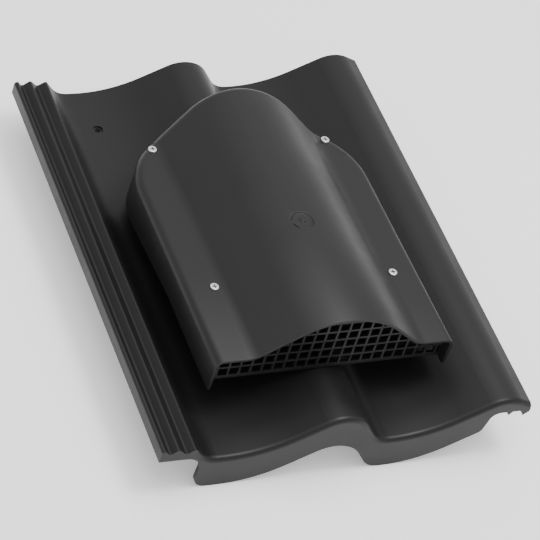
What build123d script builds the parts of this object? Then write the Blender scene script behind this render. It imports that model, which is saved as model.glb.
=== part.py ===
"""Roof vent tile: a double-roll interlocking base tile with a low screwed-on hood and a lattice grille.

Millimetres, +Z up, +Y up the roof slope. The origin is the centre of the tile's footprint on the plane
that its front skirt and its batten nibs stand on.
"""
import os
from math import acos, atan2, cos, degrees, radians, sin, tan

from build123d import *

os.makedirs("parts", exist_ok=True)

# Base tile
tile_width = 335.0
tile_length = 420.0
tile_wall = 3.5
skirt_depth = 33.5
skirt_wall = 4.0
front_round = 4.5

# Rolls: two to the cover width, each with a gentle and a steep side, heights from the valley floor
side_overlap = 35.0
left_foot = 43.6
left_foot_round = 20.0
gentle_foot = 91.6
gentle_foot_reach = 32.3
roll_apex_height = 43.8
roll_round = 30.5
steep_run = 31.3
steep_foot_round = 20.0
valley_run = 43.2
nose_apex_inset = 25.4
nose_apex_height = 39.5
nose_edge_height = 26.8
nose_round = 30.0

# Interlocks: three ribs at the left edge, two teeth under the nose at the right
rib_peaks = [(0.0, 17.6), (14.5, 18.4), (29.6, 17.0)]
rib_troughs = [(7.7, 12.6), (22.2, 11.6)]
rib_round = 2.2
rib_land = 3.4
flank_start = 0.15
interlock_floor = 5.0
nose_step_inset = 35.0
step_run = 4.0
step_rounds = [9.0, 8.0]
nose_floor = 20.8
nose_tip_height = 19.0
nose_teeth = [(19.4, 16.6), (5.0, 14.7)]
tooth_run = 3.2
skirt_left = 38.5
skirt_relief_round = 14.0
skirt_toe_round = 12.0

# Batten nibs and nail hole
nib_width = 26.0
nib_thickness = 9.0
nib_root = 18.0
nib_from_top = 42.0
nib_place = 70.0
nail_hole = 5.4
nail_dimple = 9.0
nail_dimple_depth = 0.8
nail_from_left = 68.2
nail_from_top = 46.8

# Hood
hood_offset = -6.9
hood_setback = 48.0
hood_fall = 1.2
hood_width = 217.0
hood_side_length = 196.0
hood_arch = 82.0
hood_haunch = 67.0
hood_wall = 3.0
hood_flat = 62.8
hump_left_foot = -75.6
hump_right_foot = 74.6
hump_apex = (7.0, 118.3)
hump_round = 77.0
hump_foot_round = 20.0
hood_edge_round = 7.0
rim_height = 31.4
rim_slope = 1.06
rim_level = 102.0
rim_drop = 0.1
scribe_gap = 0.8

# Grille
grille_recess = 8.0
grille_thickness = 2.5
grille_lean = 3.0
grille_bottom = 34.9
grille_clearance = 0.3
bar_width = 2.0
bottom_bar = 3.6
frame_band = 1.6
cell_pitch_x = 10.0
cell_pitch_z = 9.6
cell_columns = 22
cell_rows = 7
stop_rib = 2.0
stop_depth = 2.6
stop_root = 1.0

# Collar round the vent opening
collar_half_width = 60.0
collar_front = 72.0
collar_side_length = 116.0
collar_arch = 56.0
collar_haunch = 48.0
collar_wall = 3.0
collar_height = 50.0

# Fixing screws and their posts
screw_inset = 25.9
lower_screw_row = 79.0
arch_screw_rise = 44.5
screw_shank = 4.0
screw_length = 18.0
screw_head = 7.6
screw_head_height = 1.8
cross_length = 4.4
cross_width = 1.0
cross_depth = 0.9
post_diameter = 12.0
pilot_clearance = 0.1
hood_hole_clearance = 0.3
post_clearance = 0.3
spot_clearance = 0.2

# Moulding gate mark on the hump
gate_place = (0.4, 113.0)
gate_diameter = 19.0
gate_depth = 0.9
gate_nub = 4.6
gate_nub_height = 0.7

# Worked-out places
left = -tile_width / 2
front = -tile_length / 2
valley = skirt_depth
deep = -2 * skirt_depth
far = 2 * tile_length

roll_pitch = (tile_width - side_overlap) / 2
next_foot = gentle_foot + roll_pitch
steep_foot = next_foot - valley_run
roll_apex = (steep_foot - steep_run, roll_apex_height)
nose_apex = (tile_width - nose_apex_inset, nose_apex_height)
hood_centre = roll_apex[0] + hood_offset
nib_places = [nib_place, nib_place + roll_pitch]

tile_face = Plane(origin=(left, front, valley), x_dir=(1, 0, 0), z_dir=(0, -1, 0))
hood_origin = (left + hood_centre, front + hood_setback, valley)
fall = radians(hood_fall)
lean = radians(grille_lean)
hood_plane = Plane(origin=hood_origin, x_dir=(1, 0, 0), z_dir=(0, sin(fall), cos(fall)))
hood_face = Plane(origin=hood_origin, x_dir=(1, 0, 0), z_dir=(0, -cos(fall), sin(fall)))
grille_origin = (left + hood_centre, front + hood_setback + grille_recess, valley + grille_bottom)
grille_plane = Plane(origin=grille_origin, x_dir=(1, 0, 0), z_dir=(0, -cos(lean), sin(lean)))


def shifted(points, right=0.0, up=0.0):
    """Points of an outline, moved."""
    return [(x + right, z + up) for x, z in points]


# Outline of the tile's weather side, from high on the third rib's flank to the nose
peak = rib_peaks[2]
flank = (peak[0] + flank_start * (left_foot - peak[0]), peak[1] * (1 - flank_start))
rolls = [(left_foot, 0.0), (gentle_foot, 0.0), roll_apex, (steep_foot, 0.0), (next_foot, 0.0), nose_apex]
gentle_rounds = [
    gentle_foot_reach / tan(atan2(apex[1], apex[0] - foot) / 2)
    for foot, apex in [(gentle_foot, roll_apex), (next_foot, nose_apex)]
]
roll_radii = [left_foot_round, gentle_rounds[0], roll_round, steep_foot_round, gentle_rounds[1], nose_round]
nose_edge = (tile_width, nose_edge_height)
nose_step = tile_width - nose_step_inset
nose_tip = (tile_width, nose_tip_height)


# The skirt meets the underside of the ribs in a hollow round
relief = (skirt_left - skirt_relief_round, interlock_floor - skirt_relief_round)
relief_turn = degrees(acos((flank[0] - relief[0]) / skirt_relief_round))


def tooth(tip):
    """A downward tooth under the nose, from right to left, placed from the tile's right edge."""
    x = tile_width - tip[0]
    return [(x + tooth_run, nose_floor), (x, tip[1]), (x - tooth_run, nose_floor)]


def on_gentle_slope(x):
    """Height of the second roll's straight slope at a distance from the left edge."""
    return (x - next_foot) * nose_apex[1] / (nose_apex[0] - next_foot)


# Base tile: one moulding
with BuildSketch(tile_face) as roll_section:
    with BuildLine():
        weather = FilletPolyline(flank, *rolls, nose_edge, radius=roll_radii)
        step_foot = (nose_step - step_run, on_gentle_slope(nose_step - step_run) - skirt_depth)
        teeth = Polyline(weather @ 1, nose_tip, *tooth(nose_teeth[1])[1:], *tooth(nose_teeth[0]))
        lower = shifted(rolls[1:5], up=-skirt_depth)
        skirt_edge = FilletPolyline(
            teeth @ 1,
            (nose_step, nose_floor),
            step_foot,
            *reversed(lower),
            (skirt_left, -skirt_depth),
            (skirt_left, relief[1]),
            radius=[*step_rounds, gentle_rounds[1], steep_foot_round, roll_round, gentle_rounds[0], skirt_toe_round],
        )
        skirt_relief = CenterArc(relief, skirt_relief_round, 0, relief_turn)
        Polyline(skirt_relief @ 1, flank)
    make_face()

with BuildSketch(tile_face) as hollow_section:
    with BuildLine():
        surface = FilletPolyline(peak, *rolls, nose_edge, radius=roll_radii)
        Polyline(surface @ 1, (tile_width, deep), (peak[0], deep), peak)
    make_face()
    offset(amount=-tile_wall, kind=Kind.INTERSECTION, mode=Mode.REPLACE)
    with Locations((nose_step, deep)):
        Rectangle(tile_width, far, align=(Align.MIN, Align.MIN), mode=Mode.SUBTRACT)

with BuildSketch(tile_face) as scribe_section:
    with BuildLine():
        surface = FilletPolyline(peak, *rolls, nose_edge, radius=roll_radii)
        Polyline(surface @ 1, (tile_width, deep), (peak[0], deep), peak)
    make_face()
    offset(amount=scribe_gap, kind=Kind.ARC, mode=Mode.REPLACE)

with BuildSketch(tile_face) as rib_section:
    with BuildLine():
        crest = rib_peaks[0]
        ribs = FilletPolyline(
            (crest[0], interlock_floor),
            crest,
            (crest[0] + rib_land, crest[1]),
            rib_troughs[0],
            rib_peaks[1],
            rib_troughs[1],
            peak,
            flank,
            radius=rib_round,
        )
        CenterArc(relief, skirt_relief_round, relief_turn, 90 - relief_turn)
        relief_side = (flank[0], relief[1] + skirt_relief_round * sin(radians(relief_turn)))
        Line(flank, relief_side)
        Line((relief[0], interlock_floor), ribs @ 0)
    make_face()


def arch_plan(half_width, side_length, rise, haunch, inset=0.0):
    """Closed plan outline: straight front and sides under an arch of three arcs, all moved inwards by inset."""
    run = half_width - haunch
    drop = (run**2 - (rise - haunch) ** 2) / (2 * (rise - haunch))
    turn = degrees(atan2(drop, run))
    side = half_width - inset
    Polyline((-side, side_length), (-side, 0), (side, 0), (side, side_length))
    CenterArc((run, side_length), haunch - inset, 0, turn)
    CenterArc((0, side_length - drop), rise + drop - inset, turn, 180 - 2 * turn)
    CenterArc((-run, side_length), haunch - inset, 180 - turn, turn)


# Hood sections, on a plane that falls towards the ridge
with BuildSketch(hood_face) as hood_section:
    with BuildLine():
        FilletPolyline(
            (-hood_width / 2, hood_flat),
            (hump_left_foot, hood_flat),
            hump_apex,
            (hump_right_foot, hood_flat),
            (hood_width / 2, hood_flat),
            radius=[hump_foot_round, hump_round, hump_foot_round],
        )
        low = -skirt_depth
        side = hood_width / 2
        Polyline((-side, hood_flat), (-side, low), (side, low), (side, hood_flat))
    make_face()

with BuildSketch(hood_face) as cavity_section:
    add(hood_section.sketch_local)
    offset(amount=-hood_wall, kind=Kind.INTERSECTION, mode=Mode.REPLACE)
    with Locations((0, low)):
        Rectangle(hood_width - 2 * hood_wall, 4 * hood_wall)

with BuildSketch(hood_face) as stop_section:
    add(cavity_section.sketch_local)
    offset(amount=-stop_depth, kind=Kind.INTERSECTION, mode=Mode.REPLACE)
    with Locations((0, low)):
        Rectangle(hood_width - 2 * (hood_wall + stop_depth), 8 * hood_wall)

hood_slope = (0, cos(fall), -sin(fall))
crest_arc = hood_section.edges().filter_by(GeomType.CIRCLE).sort_by(SortBy.RADIUS)[-1]
hump_top = crest_arc.arc_center.Y + hump_round
hood_length = hood_side_length + hood_arch


def hood_body(section, inset):
    """Solid under a section of the hood, cut to the arched plan moved inwards by inset."""
    with BuildPart() as body:
        extrude(section.sketch, amount=hood_length, dir=hood_slope)
        with BuildSketch(hood_plane.offset(-skirt_depth)):
            with BuildLine():
                arch_plan(hood_width / 2, hood_side_length, hood_arch, hood_haunch, inset)
            make_face()
        extrude(amount=far, mode=Mode.INTERSECT)
    return body.part


up_slope = (0, 1, 0)
screw_x = hood_width / 2 - screw_inset
screw_rows = [lower_screw_row, hood_side_length + arch_screw_rise]
post_places = [(side * screw_x, row) for row in screw_rows for side in (-1, 1)]
hood_underside = hood_flat - hood_wall
collar_origin = (left + hood_centre, front + hood_setback + collar_front)
collar_plane = Plane(origin=(*collar_origin, 0))
opening_plane = Plane(origin=(collar_origin[0], collar_origin[1] + collar_wall, -valley))
nail_plane = Plane(origin=(left + nail_from_left, front + tile_length - nail_from_top, valley))
nib_y = front + tile_length - nib_from_top

# Screw posts reach up to the hood's underside and keep clear of its wall
with BuildPart() as posts:
    with BuildSketch(hood_plane.offset(hood_underside)):
        with Locations(*post_places):
            Circle(post_diameter / 2)
    extrude(amount=-hood_underside)
    add(hood_body(cavity_section, hood_wall + post_clearance), mode=Mode.INTERSECT)

with BuildPart() as base_tile:
    extrude(roll_section.sketch, amount=tile_length, dir=up_slope)
    front_edges = base_tile.edges().filter_by_position(Axis.Y, front - 1, front + 1)
    fillet(front_edges.sort_by(Axis.Z)[-1], front_round)

    # Collar and screw posts stand on the rolls
    with BuildSketch(collar_plane):
        with BuildLine():
            arch_plan(collar_half_width, collar_side_length, collar_arch, collar_haunch)
        make_face()
    extrude(amount=valley + collar_height)
    add(posts.part)

    # The underside is hollow behind the front skirt
    hollow_start = hollow_section.sketch.moved(Location((0, skirt_wall, 0)))
    extrude(hollow_start, amount=tile_length, dir=up_slope, mode=Mode.SUBTRACT)
    extrude(rib_section.sketch, amount=tile_length, dir=up_slope)

    # The vent opening runs right through, inside the collar
    with BuildSketch(opening_plane):
        with BuildLine():
            inner_side = collar_side_length - collar_wall
            arch_plan(collar_half_width, inner_side, collar_arch, collar_haunch, collar_wall)
        make_face()
    extrude(amount=far, mode=Mode.SUBTRACT)

    # Pilot holes in the posts
    with BuildSketch(hood_plane.offset(hood_underside)):
        with Locations(*post_places):
            Circle(screw_shank / 2 + pilot_clearance)
    extrude(amount=-screw_length, mode=Mode.SUBTRACT)

    # Nail hole with its dimple, near the upper edge
    with BuildSketch(nail_plane.offset(-nail_dimple_depth)):
        Circle(nail_dimple / 2)
    extrude(amount=nail_dimple, mode=Mode.SUBTRACT)
    with BuildSketch(nail_plane.offset(-nail_dimple)):
        Circle(nail_hole / 2)
    extrude(amount=far, mode=Mode.SUBTRACT)

    # Batten nibs, thick at the root, reach down to the plane of the skirt's edge
    for place in nib_places:
        with BuildSketch(Plane(origin=(left + place, nib_y, 0), x_dir=(0, 1, 0), z_dir=(1, 0, 0))):
            with BuildLine():
                root = valley - tile_wall / 2
                Polyline((0, 0), (nib_thickness, 0), (nib_root, root), (0, root), close=True)
            make_face()
        extrude(amount=nib_width / 2, both=True)
base_tile.part.label = "base_tile"
export_step(base_tile.part, "parts/base_tile.step")

# Hood: a shell with open front and underside
rim_origin = (hood_origin[0], hood_origin[1], valley + rim_height)
rim_plane = Plane(origin=rim_origin, x_dir=up_slope, z_dir=(cos(radians(rim_slope)), 0, sin(radians(rim_slope))))
rim_run = hood_length - rim_level + hood_wall

with BuildPart() as hood:
    add(hood_body(hood_section, 0))
    top_edge = hood.faces().sort_by(Axis.Z)[-1].edges().sort_by(Axis.Y)[-1]
    fillet(top_edge, hood_edge_round)
    add(hood_body(cavity_section, hood_wall), mode=Mode.SUBTRACT)

    # A low rib inside the mouth stops the grille
    with BuildSketch(grille_plane.offset(-grille_thickness)):
        with Locations((0, -grille_bottom)):
            add(cavity_section.sketch_local)
        offset(amount=stop_root, kind=Kind.INTERSECTION, mode=Mode.REPLACE)
        with Locations((0, -grille_bottom)):
            add(stop_section.sketch_local, mode=Mode.SUBTRACT)
    extrude(amount=-stop_rib)

    # Gate mark: a shallow round recess with a nub, on the crest of the hump
    with BuildSketch(hood_plane.offset(hump_top - gate_depth)):
        with Locations(gate_place):
            Circle(gate_diameter / 2)
    extrude(amount=hood_wall, mode=Mode.SUBTRACT)
    with BuildSketch(hood_plane.offset(hump_top - gate_depth)):
        with Locations(gate_place):
            Circle(gate_nub / 2)
    extrude(amount=gate_nub_height)

    # Screw holes, with spot faces because the heads stand close to the hump's foot
    with BuildSketch(hood_plane.offset(hood_flat)):
        with Locations(*post_places):
            Circle(screw_head / 2 + spot_clearance)
    extrude(amount=screw_head_height, mode=Mode.SUBTRACT)
    with BuildSketch(hood_plane.offset(hood_underside - hood_wall)):
        with Locations(*post_places):
            Circle(screw_shank / 2 + hood_hole_clearance)
    extrude(amount=3 * hood_wall, mode=Mode.SUBTRACT)

    # Lower rim: level at the front, then falling towards the ridge, and scribed over the rolls
    with BuildSketch(rim_plane):
        with BuildLine():
            Polyline(
                (-hood_wall, 0),
                (rim_level, 0),
                (rim_level + rim_run, -rim_run * rim_drop),
                (rim_level + rim_run, deep),
                (-hood_wall, deep),
                close=True,
            )
        make_face()
    extrude(amount=hood_width, both=True, mode=Mode.SUBTRACT)
    extrude(scribe_section.sketch, amount=tile_length, dir=up_slope, mode=Mode.SUBTRACT)
hood.part.label = "hood"
export_step(hood.part, "parts/hood.step")

# Grille: a square lattice that follows the inside of the hood's mouth, over a straight bottom bar
grille_sag = fall * (grille_recess + grille_thickness + hump_top * lean)
tilt = Location((0, 0, 0), (0, 0, rim_slope))

with BuildSketch(grille_plane) as grille_outline:
    with Locations((0, -grille_bottom - grille_sag)):
        add(cavity_section.sketch_local)
    offset(amount=-grille_clearance, kind=Kind.INTERSECTION, mode=Mode.REPLACE)
    with Locations(tilt):
        Rectangle(2 * hood_width, far, align=(Align.CENTER, Align.MAX), mode=Mode.SUBTRACT)

with BuildSketch(grille_plane) as cell_outline:
    add(grille_outline.sketch_local)
    offset(amount=-frame_band, kind=Kind.INTERSECTION, mode=Mode.REPLACE)
    with Locations(tilt):
        Rectangle(2 * hood_width, 2 * bottom_bar, mode=Mode.SUBTRACT)

with BuildSketch(grille_plane) as cells:
    with Locations(tilt * Location((0, bottom_bar + cell_rows * cell_pitch_z / 2 - bar_width / 2))):
        with GridLocations(cell_pitch_x, cell_pitch_z, cell_columns, cell_rows):
            Rectangle(cell_pitch_x - bar_width, cell_pitch_z - bar_width)
    add(cell_outline.sketch_local, mode=Mode.INTERSECT)

with BuildPart() as grille:
    with BuildSketch(grille_plane):
        add(grille_outline.sketch_local)
        add(cells.sketch_local, mode=Mode.SUBTRACT)
    extrude(amount=-grille_thickness)
grille.part.label = "grille"
export_step(grille.part, "parts/grille.step")


def fixing_screw(place):
    """Flat-topped screw with a cross recess, its head seated on the hood."""
    seat = hood_plane.offset(hood_flat)
    with BuildPart() as screw:
        with BuildSketch(seat):
            with Locations(place):
                Circle(screw_head / 2)
        extrude(amount=screw_head_height)
        with BuildSketch(seat):
            with Locations(place):
                Circle(screw_shank / 2)
        extrude(amount=-screw_length)
        with BuildSketch(seat.offset(screw_head_height - cross_depth)):
            with Locations(place):
                Rectangle(cross_length, cross_width)
                Rectangle(cross_width, cross_length)
        extrude(amount=screw_head_height, mode=Mode.SUBTRACT)
    return screw.part


screw_names = ["screw_lower_left", "screw_lower_right", "screw_upper_left", "screw_upper_right"]
for name, place in zip(screw_names, post_places):
    screw = fixing_screw(place)
    screw.label = name
    export_step(screw, f"parts/{name}.step")
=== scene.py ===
# %% [markdown]
# # Roof vent tile
#
# A roof vent tile takes the place of one tile in a roof. Air from under the roof rises through an
# opening in it and leaves under a low hood, through a grille that keeps birds out. This lesson dresses
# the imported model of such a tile. It gives the tile its finish, models the hood and the screws again with
# softer edges, softens the grille, and lights it all like a product picture.
#
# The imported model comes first, because every piece is placed in its frame. Lengths are in metres there,
# so the real sizes, which are known in millimetres, go through one factor.

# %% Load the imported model
from math import atan2, cos, hypot, pi, radians, sin, sqrt, tan

import bpy
from mathutils import Matrix, Vector


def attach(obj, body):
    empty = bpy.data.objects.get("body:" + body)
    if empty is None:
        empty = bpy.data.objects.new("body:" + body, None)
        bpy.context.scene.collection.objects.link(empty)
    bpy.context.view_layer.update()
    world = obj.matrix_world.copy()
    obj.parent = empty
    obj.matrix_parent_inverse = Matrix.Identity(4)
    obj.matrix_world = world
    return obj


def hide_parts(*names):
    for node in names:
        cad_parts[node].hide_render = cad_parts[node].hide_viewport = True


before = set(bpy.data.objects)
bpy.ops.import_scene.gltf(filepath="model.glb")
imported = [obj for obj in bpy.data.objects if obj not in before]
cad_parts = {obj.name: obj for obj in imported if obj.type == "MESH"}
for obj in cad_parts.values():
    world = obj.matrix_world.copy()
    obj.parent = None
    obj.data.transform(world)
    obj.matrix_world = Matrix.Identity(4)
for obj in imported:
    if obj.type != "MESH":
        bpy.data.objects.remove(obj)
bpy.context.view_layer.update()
MM = 0.001
print("nodes:", sorted(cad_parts))

# %% [markdown]
# ## Colours and a helper for nodes
#
# A picture program gives colours as sRGB hex values, while Blender's shaders mix light, which is
# linear. One function turns the first into the second. A second function adds one node to a
# material with its settings and its links, so that a whole finish reads as a short list.

# %% Colour and node helpers
def linear(hex_colour):
    """An sRGB hex colour as linear RGBA."""
    parts = [int(hex_colour[i:i + 2], 16) / 255 for i in (1, 3, 5)]
    return tuple(c / 12.92 if c <= 0.04045 else ((c + 0.055) / 1.055) ** 2.4 for c in parts) + (1.0,)


def add_node(material, kind, settings=None, links=None):
    """Adds a node; settings go to its properties or sockets, and links join sockets to others."""
    made = material.node_tree.nodes.new(kind)
    for name, value in (settings or {}).items():
        if name in made.inputs.keys():
            made.inputs[name].default_value = value
        else:
            setattr(made, name, value)
    for name, source in (links or {}).items():
        material.node_tree.links.new(source, made.inputs[name])
    return made


def new_material(name):
    """An empty node material and its output node."""
    material = bpy.data.materials.new(name)
    material.use_nodes = True
    material.node_tree.nodes.clear()
    return material, add_node(material, "ShaderNodeOutputMaterial")


print("middle grey as linear light:", [round(c, 3) for c in linear("#808080")])

# %% [markdown]
# ## The anthracite plastic
#
# The tile, its hood and its grille are moulded in a dark grey polypropylene with a satin, faintly
# grained skin. The grain is a tenth of a millimetre deep at most, so it is a bump and not a shape. A
# second, wide noise lets the gloss vary a little, as mould flow and handling leave it.

# %% Anthracite plastic
def moulded_plastic(name, colour, roughness):
    """Satin moulded polypropylene with a fine grain and faint flow marks."""
    material, output = new_material(name)
    place = add_node(material, "ShaderNodeTexCoord")
    grain = add_node(material, "ShaderNodeTexNoise", {"Scale": 1 / (0.9 * MM), "Detail": 3.0},
                     {"Vector": place.outputs["Object"]})
    flow = add_node(material, "ShaderNodeTexNoise", {"Scale": 1 / (45 * MM), "Detail": 2.0},
                    {"Vector": place.outputs["Object"]})
    spread = {"From Min": 0.3, "From Max": 0.7, "To Min": roughness - 0.04, "To Max": roughness + 0.05}
    gloss = add_node(material, "ShaderNodeMapRange", spread, {"Value": flow.outputs["Fac"]})
    bump = add_node(material, "ShaderNodeBump", {"Strength": 0.12, "Distance": 0.1 * MM},
                    {"Height": grain.outputs["Fac"]})
    surface = add_node(material, "ShaderNodeBsdfPrincipled",
                       {"Base Color": linear(colour), "IOR": 1.49, "Specular IOR Level": 0.3},
                       {"Roughness": gloss.outputs["Result"], "Normal": bump.outputs["Normal"]})
    material.node_tree.links.new(surface.outputs["BSDF"], output.inputs["Surface"])
    return material


tile_plastic = moulded_plastic("anthracite polypropylene, tile", "#181819", 0.42)
hood_plastic = moulded_plastic("anthracite polypropylene, hood", "#1d1d1e", 0.42)
print("made", tile_plastic.name, "and", hood_plastic.name)

# %% [markdown]
# ## The zinc of the screws
#
# The screws are steel with a bright zinc plate, the only bright points on the dark plastic. An even
# metal would shine like a mirror, so a fine noise moves the gloss between two values, as plating does.
# The same finish in a dark tone goes into the cross recess as painted shade, so that it looks nearly black
# from above.

# %% Zinc plate
def zinc_plate(name, colour):
    """Zinc plate on a steel screw head."""
    material, output = new_material(name)
    place = add_node(material, "ShaderNodeTexCoord")
    mottle = add_node(material, "ShaderNodeTexNoise", {"Scale": 1 / (1.2 * MM), "Detail": 2.0},
                      {"Vector": place.outputs["Object"]})
    gloss = add_node(material, "ShaderNodeMapRange", {"To Min": 0.22, "To Max": 0.4},
                     {"Value": mottle.outputs["Fac"]})
    surface = add_node(material, "ShaderNodeBsdfPrincipled",
                       {"Base Color": linear(colour), "Metallic": 1.0},
                       {"Roughness": gloss.outputs["Result"]})
    material.node_tree.links.new(surface.outputs["BSDF"], output.inputs["Surface"])
    return material


zinc = zinc_plate("bright zinc plate", "#e6e7e9")
# A dark copy of the zinc: painted shade for the cross recess
painted_recess_shade_zinc = zinc_plate("zinc darkened as painted shade in the cross recess", "#3c3d3e")
print("made", zinc.name, "and", painted_recess_shade_zinc.name)

# %% [markdown]
# ## Finishes on the solids
#
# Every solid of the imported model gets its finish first. The tile stays as its solid. Pieces that are
# modelled below in finer form take the place of their solids.

# %% Finishes on the solids
FINISHES = {"base_tile": tile_plastic, "hood": hood_plastic, "grille": tile_plastic}
for name in sorted(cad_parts):
    solid = bpy.data.objects[name]
    solid.data.materials.clear()
    solid.data.materials.append(FINISHES.get(name, zinc))
print("finished", len(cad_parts), "solids")

# %% [markdown]
# ## Drawing an outline
#
# Most of this vent is one outline pushed along a line. The outline is drawn as by hand: a plane is
# added and merged into a single point, and that point is extruded from corner to corner. Straight
# corners come from the real sizes; a helper first rounds them with arcs, because a moulded part has
# no sharp folds.

# %% Outline helpers
ARC_STEP = radians(5)
SMOOTH_ANGLE = radians(35)


def rounded(corners, radii):
    """Points of an open outline whose inner corners are rounded by arcs of these radii."""
    points = [corners[0]]
    for before, corner, after, radius in zip(corners, corners[1:], corners[2:], radii):
        p, q, r = Vector(before), Vector(corner), Vector(after)
        to_p, to_r = (p - q).normalized(), (r - q).normalized()
        half = to_p.angle(to_r) / 2
        centre = q + (to_p + to_r).normalized() * radius / sin(half)
        start = q + to_p * radius / tan(half) - centre
        turn = pi - 2 * half
        side = 1 if start.x * to_p.y - start.y * to_p.x < 0 else -1
        steps = max(2, round(turn / ARC_STEP))
        for k in range(steps + 1):
            spot = centre + Matrix.Rotation(side * turn * k / steps, 2) @ start
            points.append((spot.x, spot.y))
    return points + [corners[-1]]


def deselect_all():
    """Leaves object mode with nothing selected."""
    if bpy.context.object and bpy.context.object.mode == "EDIT":
        bpy.ops.object.mode_set(mode="OBJECT")
    bpy.ops.object.select_all(action="DESELECT")


def draw(name, points):
    """Draws a closed face through 3-D points in millimetres, and stays in edit mode."""
    deselect_all()
    places = [Vector(p) * MM for p in points]
    bpy.ops.mesh.primitive_plane_add(size=MM, location=places[0])
    piece = bpy.context.object
    piece.name = piece.data.name = name
    bpy.ops.object.transform_apply(location=True)
    bpy.ops.object.mode_set(mode="EDIT")
    bpy.ops.mesh.select_mode(type="VERT")
    bpy.ops.mesh.select_all(action="SELECT")
    bpy.ops.mesh.merge(type="CENTER")
    for here, there in zip(places, places[1:]):
        bpy.ops.mesh.extrude_region_move(TRANSFORM_OT_translate={"value": there - here})
    bpy.ops.mesh.select_all(action="SELECT")
    bpy.ops.mesh.remove_doubles(threshold=MM / 1000)
    bpy.ops.mesh.edge_face_add()
    return piece


def pick(piece, kind, test):
    """In edit mode, selects only the edges or faces whose middle, in mm, passes a test."""
    bpy.ops.mesh.select_mode(type=kind)
    bpy.ops.mesh.select_all(action="DESELECT")
    bpy.ops.object.mode_set(mode="OBJECT")
    mesh = piece.data
    count = 0
    for part in {"EDGE": mesh.edges, "FACE": mesh.polygons}[kind]:
        corners = [mesh.vertices[v].co for v in part.vertices]
        middle = sum(corners, Vector()) / len(corners)
        part.select = bool(test(middle / MM))
        count += part.select
    bpy.ops.object.mode_set(mode="EDIT")
    return count


def apply_modifier(piece, kind, **settings):
    """Adds a modifier with its settings and applies it."""
    deselect_all()
    bpy.context.view_layer.objects.active = piece
    piece.select_set(True)
    made = piece.modifiers.new(kind.title(), kind)
    for name, value in settings.items():
        setattr(made, name, value)
    bpy.ops.object.modifier_apply(modifier=made.name)


def join(pieces):
    """Joins pieces into the first one."""
    deselect_all()
    for piece in pieces:
        piece.select_set(True)
    bpy.context.view_layer.objects.active = pieces[0]
    bpy.ops.object.join()
    return pieces[0]


def finish_piece(piece, finish, node):
    """Gives a piece smooth shading, its finish if it has none and body, and its node's place."""
    deselect_all()
    piece.select_set(True)
    bpy.context.view_layer.objects.active = piece
    bpy.ops.object.shade_smooth_by_angle(angle=SMOOTH_ANGLE)
    if not piece.data.materials:
        piece.data.materials.append(finish)
    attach(piece, "root")
    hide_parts(node)
    print(piece.name, len(piece.data.polygons), "faces")


print("a square corner rounded by 5 mm has", len(rounded([(0, 0), (9, 0), (9, 9)], [5])), "points")

# %% [markdown]
# ## Solids to cut with
#
# An outline pushed along a vector is a prism, and an upright rod does for what is round. A boolean then
# joins, cuts or intersects two solids, and the tool is deleted after use. Cutting is chosen over moving
# single points, because the hood's sizes then stay readable as numbers.

# %% Solid helpers
def prism(name, points, move):
    """A closed outline in millimetres, pushed along a vector into a solid."""
    piece = draw(name, points)
    bpy.ops.mesh.extrude_region_move(TRANSFORM_OT_translate={"value": Vector(move) * MM})
    bpy.ops.mesh.select_all(action="SELECT")
    bpy.ops.mesh.normals_make_consistent(inside=False)
    deselect_all()
    return piece


def rod(name, diameter, spot, bottom, top, sides=48):
    """An upright rod, as a cutter or as a part."""
    deselect_all()
    bpy.ops.mesh.primitive_cylinder_add(vertices=sides, radius=diameter / 2 * MM, depth=(top - bottom) * MM,
                                        location=Vector((*spot, (top + bottom) / 2)) * MM)
    bpy.ops.object.transform_apply(location=True)
    piece = bpy.context.object
    piece.name = piece.data.name = name
    return piece


def combine(piece, tool, operation):
    """Cuts, joins or intersects a piece with a tool, and removes the tool."""
    apply_modifier(piece, "BOOLEAN", object=tool, operation=operation, solver="EXACT")
    deselect_all()
    tool.select_set(True)
    bpy.ops.object.delete()


def turn_and_move(piece, angle, axis, move):
    """Turns a piece about the origin and moves it, leaving its object at the origin."""
    deselect_all()
    bpy.context.view_layer.objects.active = piece
    piece.select_set(True)
    piece.rotation_euler["XYZ".index(axis)] = angle
    piece.location = Vector(move) * MM
    bpy.ops.object.transform_apply(location=True, rotation=True)

# %% [markdown]
# ## The hood
#
# The hood is a thin shell. From the front it shows one section: two flats with a hump between them.
# From above it is straight at the front and sides and ends in an arch of three arcs. So it is cut from
# two prisms: the section pushed back, and the plan pushed up. What both have in common is the hood's
# body. Its upper edge is rolled over, its open sides are removed, and the rest gets its wall.
#
# It is built level, from the middle of its front edge, and tilted into place at the end, because the
# hood falls a little towards the ridge.

# %% Sizes of the hood
HOOD_HALF, HOOD_SIDE, HOOD_RISE, HOOD_HAUNCH, HOOD_WALL = 108.5, 196.0, 82.0, 67.0, 3.0
HOOD_FLAT, HOOD_LOW = 62.8, -33.5
HUMP = [(-75.6, HOOD_FLAT), (7.0, 118.3), (74.6, HOOD_FLAT)]
HUMP_ROUNDS = [20, 77, 20]
HUMP_TOP = 99.45
HOOD_FALL = radians(1.2)
HOOD_PLACE = (-7.3, -162.0, 33.5)
ROLL_OVER = 7.0
CUT_WIDE, CUT_EARLY = 120.0, 10.0  # the section is wider and starts earlier than the plan that trims it
SCREWS = [(x, y) for y in (79.0, 240.5) for x in (-82.6, 82.6)]

hood_top = rounded([(-HOOD_HALF, HOOD_FLAT), *HUMP, (HOOD_HALF, HOOD_FLAT)], HUMP_ROUNDS)
run = HOOD_HALF - HOOD_HAUNCH
drop = (run ** 2 - (HOOD_RISE - HOOD_HAUNCH) ** 2) / (2 * (HOOD_RISE - HOOD_HAUNCH))
haunch_turn = atan2(drop, run)


def arc(x, y, radius, start, turn, steps):
    """Points of an arc, counter-clockwise."""
    return [(x + radius * cos(start + turn * k / steps), y + radius * sin(start + turn * k / steps))
            for k in range(steps + 1)]


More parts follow.
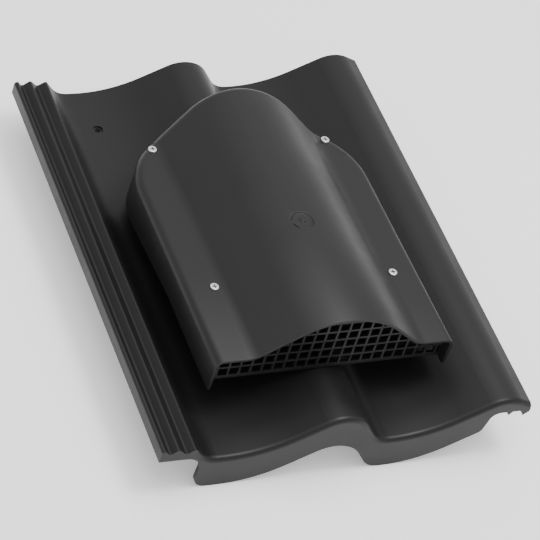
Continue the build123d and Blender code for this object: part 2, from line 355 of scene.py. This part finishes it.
# The wide arc takes its points where the section has its own, so that the two meet corner to corner
plan = [(HOOD_HALF, 0.0)]
plan += arc(run, HOOD_SIDE, HOOD_HAUNCH, 0, haunch_turn, 12)
plan += [(x, HOOD_SIDE - drop + sqrt((HOOD_RISE + drop) ** 2 - x * x)) for x, z in hood_top[-2:0:-1]]
plan += arc(-run, HOOD_SIDE, HOOD_HAUNCH, pi - haunch_turn, haunch_turn, 12)
plan.append((-HOOD_HALF, 0.0))
print("hood outlines:", len(hood_top), "and", len(plan), "points")

# %% The body of the hood
MERGE = 0.02 * MM  # corners closer than this become one

closed_section = [(-CUT_WIDE, HOOD_FLAT), *hood_top[1:-1], (CUT_WIDE, HOOD_FLAT), (CUT_WIDE, HOOD_LOW),
                  (-CUT_WIDE, HOOD_LOW)]
hood = prism("hood_shell", [(x, -CUT_EARLY, z) for x, z in closed_section],
             (0, HOOD_SIDE + HOOD_RISE + 2 * CUT_EARLY, 0))
upright = prism("hood_plan", [(x, y, HOOD_LOW - 5) for x, y in plan], (0, 0, 160))
combine(hood, upright, "INTERSECT")
bpy.context.view_layer.objects.active = hood
bpy.ops.object.mode_set(mode="EDIT")
bpy.ops.mesh.select_all(action="SELECT")
bpy.ops.mesh.remove_doubles(threshold=MERGE)
print("body of the hood:", len(hood.data.polygons), "faces")

# %% [markdown]
# The upper edge is found by its place: above the flats, and on the plan's outline. A bevel of six
# segments rolls it over. Then the front and the underside are deleted, and Solidify thickens what is
# left inwards.

# %% Roll the upper edge over
def on_plan(spot):
    """Whether a point lies on the side or arch of the plan outline."""
    for (ax, ay), (bx, by) in zip(plan, plan[1:]):
        along = Vector((bx - ax, by - ay))
        if along.length < 0.01:
            continue
        share = min(1, max(0, Vector((spot.x - ax, spot.y - ay)).dot(along) / along.length_squared))
        if hypot(ax + along.x * share - spot.x, ay + along.y * share - spot.y) < 0.05:
            return True
    return False


rim_edges = pick(hood, "EDGE", lambda c: c.z > 60 and c.y > 0.01 and on_plan(c))
bpy.ops.mesh.bevel(offset=ROLL_OVER * MM, offset_type="OFFSET", segments=6, profile=0.5, affect="EDGES",
                   clamp_overlap=False)
print("rolled over", rim_edges, "edges")

# %% Open the front and the underside, and give it a wall
open_faces = pick(hood, "FACE", lambda c: c.y < 0.05 or c.z < HOOD_LOW + 0.05)
bpy.ops.mesh.delete(type="FACE")
bpy.ops.mesh.select_all(action="SELECT")
bpy.ops.mesh.remove_doubles(threshold=MERGE)
bpy.ops.mesh.normals_make_consistent(inside=False)
apply_modifier(hood, "SOLIDIFY", thickness=HOOD_WALL * MM, offset=-1.0)
print("opened", open_faces, "faces; shell:", len(hood.data.polygons), "faces")

# %% [markdown]
# A round gate mark with a nub lies on the crest, where the plastic was injected. One rod cuts the mark
# and a second one adds the nub. Inside the mouth a low rib stops the grille. Its outline is the hood's
# own section, moved inwards twice, so it follows the shell, and it leans as the grille does.

# %% Gate mark, and the rib that stops the grille
GATE, GATE_DIAMETER, GATE_DEPTH, NUB_DIAMETER, NUB_HEIGHT = (0.4, 113), 19.0, 0.9, 4.6, 0.7
GATE_MARGIN = 1.0
RIB_OUTER, RIB_INNER, RIB_WIDTH, RIB_LEAN, RIB_START = 2.0, 5.6, 2, radians(1.8), 8.67
RIB_LEFT_FOOT, RIB_RIGHT_FOOT = 29.7, 33.5


def offset_line(points, distance):
    """The line beside a chain of points, to the right of its run."""
    moved = []
    for k, (x, z) in enumerate(points):
        ahead, behind = points[min(k + 1, len(points) - 1)], points[max(k - 1, 0)]
        along = Vector((ahead[0] - behind[0], ahead[1] - behind[1])).normalized()
        moved.append((x + along.y * distance, z - along.x * distance))
    return moved


def inside_line(inset):
    """The hood's section moved inwards, from one side's foot to the other's."""
    side = HOOD_HALF - inset
    across = [(max(-side, min(side, x)), z) for x, z in offset_line(hood_top, inset)]
    return [(-side, RIB_LEFT_FOOT), *across, (side, RIB_RIGHT_FOOT)]


rib_outline = [(x, 0, z) for x, z in inside_line(RIB_OUTER) + inside_line(RIB_INNER)[::-1]]

# Cuts close round the gate mark keep its edge from shading the long faces of the hump
bpy.ops.object.mode_set(mode="EDIT")
reach = GATE_DIAMETER / 2 + GATE_MARGIN
for across in ((1, 0, 0), (0, 1, 0)):
    for side in (1, -1):
        spot = Vector((*GATE, 0)) + side * reach * Vector(across)
        bpy.ops.mesh.select_all(action="SELECT")
        bpy.ops.mesh.bisect(plane_co=spot * MM, plane_no=across)
deselect_all()
gate_floor = HUMP_TOP - GATE_DEPTH
combine(hood, rod("gate", GATE_DIAMETER, GATE, gate_floor, HUMP_TOP + 5), "DIFFERENCE")
combine(hood, rod("nub", NUB_DIAMETER, GATE, gate_floor - 0.6, gate_floor + NUB_HEIGHT), "UNION")
rib = prism("stop_rib", rib_outline, (0, RIB_WIDTH, 0))
turn_and_move(rib, -RIB_LEAN, "X", (0, RIB_START, 0))
turn_and_move(rib, -HOOD_FALL, "X", HOOD_PLACE)
turn_and_move(hood, -HOOD_FALL, "X", HOOD_PLACE)
print("hood with its gate mark:", len(hood.data.polygons), "faces; rib:", len(rib.data.polygons))

# %% [markdown]
# The hood's lower rim is level at the front and falls towards the ridge, and where it meets the tile it
# is scribed to the rolls with a gap of 0.8 mm. Both cuts are prisms again. The second one has the tile's
# own section, so the tile's sizes come in here.

# %% The lower rim
VALLEY, LEFT, FRONT, LENGTH = 33.5, -167.5, -210.0, 420.0  # where the tile's valleys and edges lie
ROLL_LINE = [(29.6, 17.0), (43.6, 0), (91.6, 0), (167.1, 43.8), (198.4, 0), (241.6, 0), (309.6, 39.5),
             (335, 26.8)]
ROLL_ROUNDS = [20, 120, 30.5, 20, 120, 30]
RIM_HEIGHT, RIM_SLOPE, RIM_LEVEL, RIM_END, RIM_DROP, SCRIBE_GAP = 31.4, radians(1.06), 102, 281, 17.9, 0.8
CUT_SIDE, CUT_DEEP = 140, 90

rim_profile = [(-5, 0), (RIM_LEVEL, 0), (RIM_END, -RIM_DROP), (RIM_END, -CUT_DEEP), (-5, -CUT_DEEP)]
rim = prism("rim_cut", [(-CUT_SIDE, y, z) for y, z in rim_profile], (2 * CUT_SIDE, 0, 0))
turn_and_move(rim, -RIM_SLOPE, "Y", (HOOD_PLACE[0], HOOD_PLACE[1], VALLEY + RIM_HEIGHT))
combine(hood, rim, "DIFFERENCE")
scribe_line = offset_line(rounded(ROLL_LINE, ROLL_ROUNDS), -SCRIBE_GAP) + [(335, -60), (29.6, -60)]
scribe = prism("scribe_cut", [(LEFT + x, FRONT, VALLEY + z) for x, z in scribe_line], (0, LENGTH, 0))
combine(hood, scribe, "DIFFERENCE")
hood = join([hood, rib])
print("hood with its rim:", len(hood.data.polygons), "faces")

# %% Soft edges on the hood
apply_modifier(hood, "BEVEL", width=0.5 * MM, segments=2, limit_method="ANGLE", angle_limit=radians(50),
               use_clamp_overlap=False)
finish_piece(hood, hood_plastic, "hood")

# %% [markdown]
# ## The screws
#
# Four pan-head screws with a cross recess hold the hood. One is modelled over the middle of its seat:
# a low cylinder whose upper edge is rounded, a cross cut from two bars, and a plain shank. Each of the
# four is then a copy with a mesh of its own. The faces of the recess get the dark zinc as painted shade.

# %% One screw
HEAD_DIAMETER, HEAD_HEIGHT, SHANK_DIAMETER, SHANK_LENGTH = 7.6, 1.8, 4.0, 18.0
CROSS_LENGTH, CROSS_WIDTH, CROSS_DEPTH = 4.4, 1.0, 0.9

head = rod("screw_head", HEAD_DIAMETER, (0, 0), 0, HEAD_HEIGHT)
bpy.ops.object.mode_set(mode="EDIT")
pick(head, "EDGE", lambda c: c.z > HEAD_HEIGHT - 0.01)
bpy.ops.mesh.bevel(offset=0.55 * MM, segments=4, profile=0.5, affect="EDGES")
deselect_all()
for size in ((CROSS_LENGTH, CROSS_WIDTH), (CROSS_WIDTH, CROSS_LENGTH)):
    bpy.ops.mesh.primitive_cube_add(size=MM, location=(0, 0, (HEAD_HEIGHT - CROSS_DEPTH + 1) * MM))
    bar = bpy.context.object
    bar.scale = (*size, 2.0)
    bpy.ops.object.transform_apply(location=True, scale=True)
    combine(head, bar, "DIFFERENCE")
shank = rod("screw_shank", SHANK_DIAMETER, (0, 0), -SHANK_LENGTH, 0.2, sides=32)
screw = join([head, shank])
screw.data.materials.append(zinc)
screw.data.materials.append(painted_recess_shade_zinc)
# The faces of the cross recess take the dark zinc, which paints shade into them
for face in screw.data.polygons:
    middle = face.center / MM
    if 0.5 < middle.z < HEAD_HEIGHT - 0.01 and hypot(middle.x, middle.y) < CROSS_LENGTH / 2 + 0.1:
        face.material_index = 1
print("one screw:", len(screw.data.polygons), "faces")

# %% Four screws in their places
NAMES = ["screw_lower_left", "screw_lower_right", "screw_upper_left", "screw_upper_right"]
for (x, y), node in zip(SCREWS, NAMES):
    deselect_all()
    bpy.context.view_layer.objects.active = screw
    screw.select_set(True)
    bpy.ops.object.duplicate()
    one = bpy.context.object
    one.name = one.data.name = node + "_turned"
    one.location = Vector((x, y, HOOD_FLAT)) * MM
    bpy.ops.object.transform_apply(location=True)
    turn_and_move(one, -HOOD_FALL, "X", HOOD_PLACE)
    finish_piece(one, zinc, node)
deselect_all()
screw.select_set(True)
bpy.ops.object.delete()

# %% [markdown]
# ## The grille
#
# The grille's lattice is right in the solid already. What it lacks is the soft edge of a moulding: a
# merged copy of its mesh gets it.

# %% Soft edges on the grille
def copy_of_solid(node, name):
    """A merged copy of a solid's mesh, ready to be worked on."""
    deselect_all()
    piece = bpy.data.objects.new(name, bpy.data.objects[node].data.copy())
    bpy.context.collection.objects.link(piece)
    bpy.context.view_layer.objects.active = piece
    piece.select_set(True)
    bpy.ops.mesh.customdata_custom_splitnormals_clear()
    bpy.ops.object.mode_set(mode="EDIT")
    bpy.ops.mesh.select_all(action="SELECT")
    bpy.ops.mesh.remove_doubles(threshold=0.005 * MM)
    bpy.ops.mesh.dissolve_limited(angle_limit=radians(0.3))
    bpy.ops.mesh.normals_make_consistent(inside=False)
    deselect_all()
    return piece


grille = copy_of_solid("grille", "grille_lattice")
apply_modifier(grille, "BEVEL", width=0.3 * MM, segments=2, limit_method="ANGLE", angle_limit=radians(45),
               use_clamp_overlap=True)
finish_piece(grille, tile_plastic, "grille")

# %% [markdown]
# ## The camera
#
# The camera stands far off with a long lens, as for a product picture. Its angles, its roll and its
# sideways slide come from fitting the tile's long straight edges to the photograph.

# %% Camera
def aim_camera(azimuth, elevation, roll, distance, target, slide, lens):
    """Puts the camera on a sphere round the target, rolls it and slides it sideways."""
    a, e, turn = radians(azimuth), radians(elevation), radians(roll)
    back = Vector((sin(a) * cos(e), -cos(a) * cos(e), sin(e)))
    level = (-back).cross(Vector((0, 0, 1))).normalized()
    upright = level.cross(-back)
    right = level * cos(turn) + upright * sin(turn)
    up = upright * cos(turn) - level * sin(turn)
    bpy.ops.object.camera_add()
    camera = bpy.context.object
    camera.location = (Vector(target) - right * slide[0] - up * slide[1] + back * distance) * MM
    camera.rotation_mode = "QUATERNION"
    camera.rotation_quaternion = Matrix((right, up, back)).transposed().to_quaternion()
    camera.data.sensor_width = 36.0
    camera.data.lens = lens
    camera.data.clip_start = 0.05
    camera.data.clip_end = 20.0
    bpy.context.scene.camera = camera
    return camera


camera = aim_camera(azimuth=-36.01, elevation=43.53, roll=22.06, distance=2212.56, target=(-2.5, 0.0, 53.5),
                    slide=(-5.36, 24.47), lens=171.32)
print("camera at, mm:", [round(c / MM) for c in camera.location])

# %% [markdown]
# ## Floor and lights
#
# A white sweep glows a little, so that it stays pale without a strong light on the dark plastic. A soft
# ceiling and a wide key light from behind on the right shape the hump. A small light above adds
# tighter highlights.

# %% Floor
bpy.ops.mesh.primitive_plane_add(size=12.0, location=(0, 0, 0))
floor = bpy.context.object
floor.name = "floor"
paper, paper_output = new_material("white paper sweep")
paper_surface = add_node(paper, "ShaderNodeBsdfPrincipled",
                         {"Base Color": linear("#fafafa"), "Roughness": 0.9,
                          "Emission Color": linear("#ffffff"), "Emission Strength": 0.35})
paper.node_tree.links.new(paper_surface.outputs["BSDF"], paper_output.inputs["Surface"])
floor.data.materials.append(paper)
print("floor", floor.name)

# %% Lights
world = bpy.data.worlds.new("studio")
bpy.context.scene.world = world
world.use_nodes = True
sky = world.node_tree.nodes["Background"]
sky.inputs["Color"].default_value = linear("#ffffff")
sky.inputs["Strength"].default_value = 0.9

AIM = Vector((0, 0, 0.06))


def soft_box(name, place, size, power):
    """A square soft light at a place, in metres, turned to the vent."""
    bpy.ops.object.light_add(type="AREA", location=place)
    light = bpy.context.object
    light.name = name
    light.data.shape = "RECTANGLE"
    light.data.size = light.data.size_y = size
    light.data.energy = power
    light.rotation_mode = "QUATERNION"
    light.rotation_quaternion = (AIM - Vector(place)).to_track_quat("-Z", "Y")


soft_box("key", (0.9, 1.3, 1.6), 2.6, 5)
soft_box("top", (0.35, -0.2, 1.6), 0.5, 14)
soft_box("ceiling", (0.1, 0.0, 2.4), 2.5, 30)
